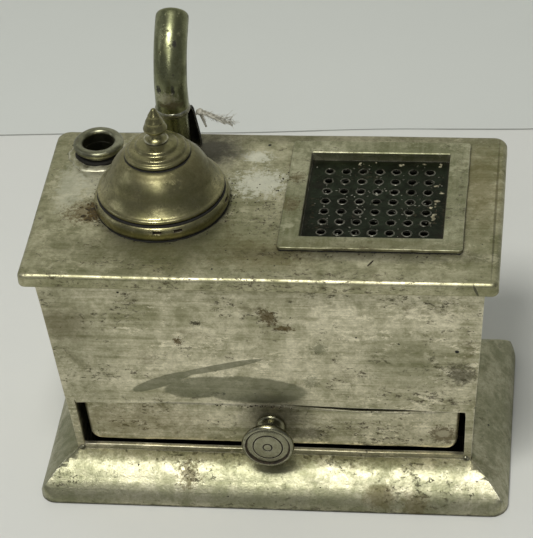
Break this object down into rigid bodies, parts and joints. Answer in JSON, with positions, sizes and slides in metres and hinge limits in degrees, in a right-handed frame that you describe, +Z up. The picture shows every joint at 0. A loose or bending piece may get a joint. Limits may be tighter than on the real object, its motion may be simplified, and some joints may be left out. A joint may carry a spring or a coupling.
{
  "type": "model steam boiler",
  "caption": "Tapered plated-metal tabletop boiler box with an ash drawer, drop-in perforated fire tray, lidded steam dome, filler collar and swivelling gooseneck pipe.",
  "frame": {"origin": "centre of the bottom plate's underside, on the surface the box stands on", "axes": "+Z up, front with the drawer faces -Y, +X to the viewer's right when facing the front"},
  "size_m": [0.1658, 0.0961, 0.1513],
  "materials": {
    "plated_sheet": "worn nickel plate over brushed sheet, patchy tarnish",
    "deck_sheet": "worn nickel plate, lime and heat stains",
    "plinth_moulding": "worn nickel plate, speckled bright highlights",
    "inner_sheet": "dull tinned sheet, ash-stained",
    "spun_brass": "nickel-plated spinning, polished and tarnished",
    "cast_collar": "dull nickel-plated casting",
    "drawn_tube": "nickel-plated tube, pitted",
    "dark_iron": "blackened iron",
    "turned_knob": "nickel-plated turning",
    "fire_frame_plate": "dull plate, scorched at the edges",
    "sooty_grate": "soot and green corrosion"
  },
  "bodies": {
    "casing": {"bottom_plate": "inner_sheet", "plinth_front": "plinth_moulding", "plinth_rear": "plinth_moulding", "plinth_left": "plinth_moulding", "plinth_right": "plinth_moulding", "casing_front": "plated_sheet", "casing_rear": "plated_sheet", "casing_left": "plated_sheet", "casing_right": "plated_sheet", "deck_plate": "deck_sheet", "drawer_ceiling": "inner_sheet", "ash_chute": "inner_sheet", "drawer_runner_left": "inner_sheet", "drawer_runner_right": "inner_sheet", "boiler_pot": "spun_brass", "seat_ring": "spun_brass", "filler_foot": "cast_collar", "filler_collar": "cast_collar", "filler_tube": "cast_collar", "pipe_socket": "drawn_tube", "pipe_stay": "dark_iron"},
    "ash_drawer": {"drawer_front": "plated_sheet", "ash_tray": "inner_sheet", "drawer_knob": "turned_knob", "knob_stud": "turned_knob", "knob_nut": "turned_knob"},
    "fire_tray": {"fire_frame": "fire_frame_plate", "fire_basket": "fire_frame_plate", "grate_plate": "sooty_grate"},
    "dome": {"dome_cover": "spun_brass", "dome_spigot": "spun_brass"},
    "lid": {"dome_lid": "spun_brass", "lid_spigot": "spun_brass", "lid_finial": "spun_brass"},
    "gooseneck": {"gooseneck_pipe": "drawn_tube", "pipe_outlet": "drawn_tube"}
  },
  "joints": [
    {"name": "drawer_slide", "type": "slide", "parent": "casing", "child": "ash_drawer", "axis": [0, -1, 0], "range_m": [0, 0.045]},
    {"name": "fire_tray_lift", "type": "slide", "parent": "casing", "child": "fire_tray", "axis": [0, 0, 1], "range_m": [0, 0.03]},
    {"name": "dome_lift", "type": "slide", "parent": "casing", "child": "dome", "axis": [0, 0, 1], "range_m": [0, 0.03]},
    {"name": "lid_lift", "type": "slide", "parent": "dome", "child": "lid", "axis": [0, 0, 1], "range_m": [0, 0.02]},
    {"name": "gooseneck_swivel", "type": "hinge", "parent": "casing", "child": "gooseneck", "pos_m": [-0.0358, 0.0305, 0.12], "axis": [0, 0, 1], "range_deg": [-90, 90]}
  ]
}
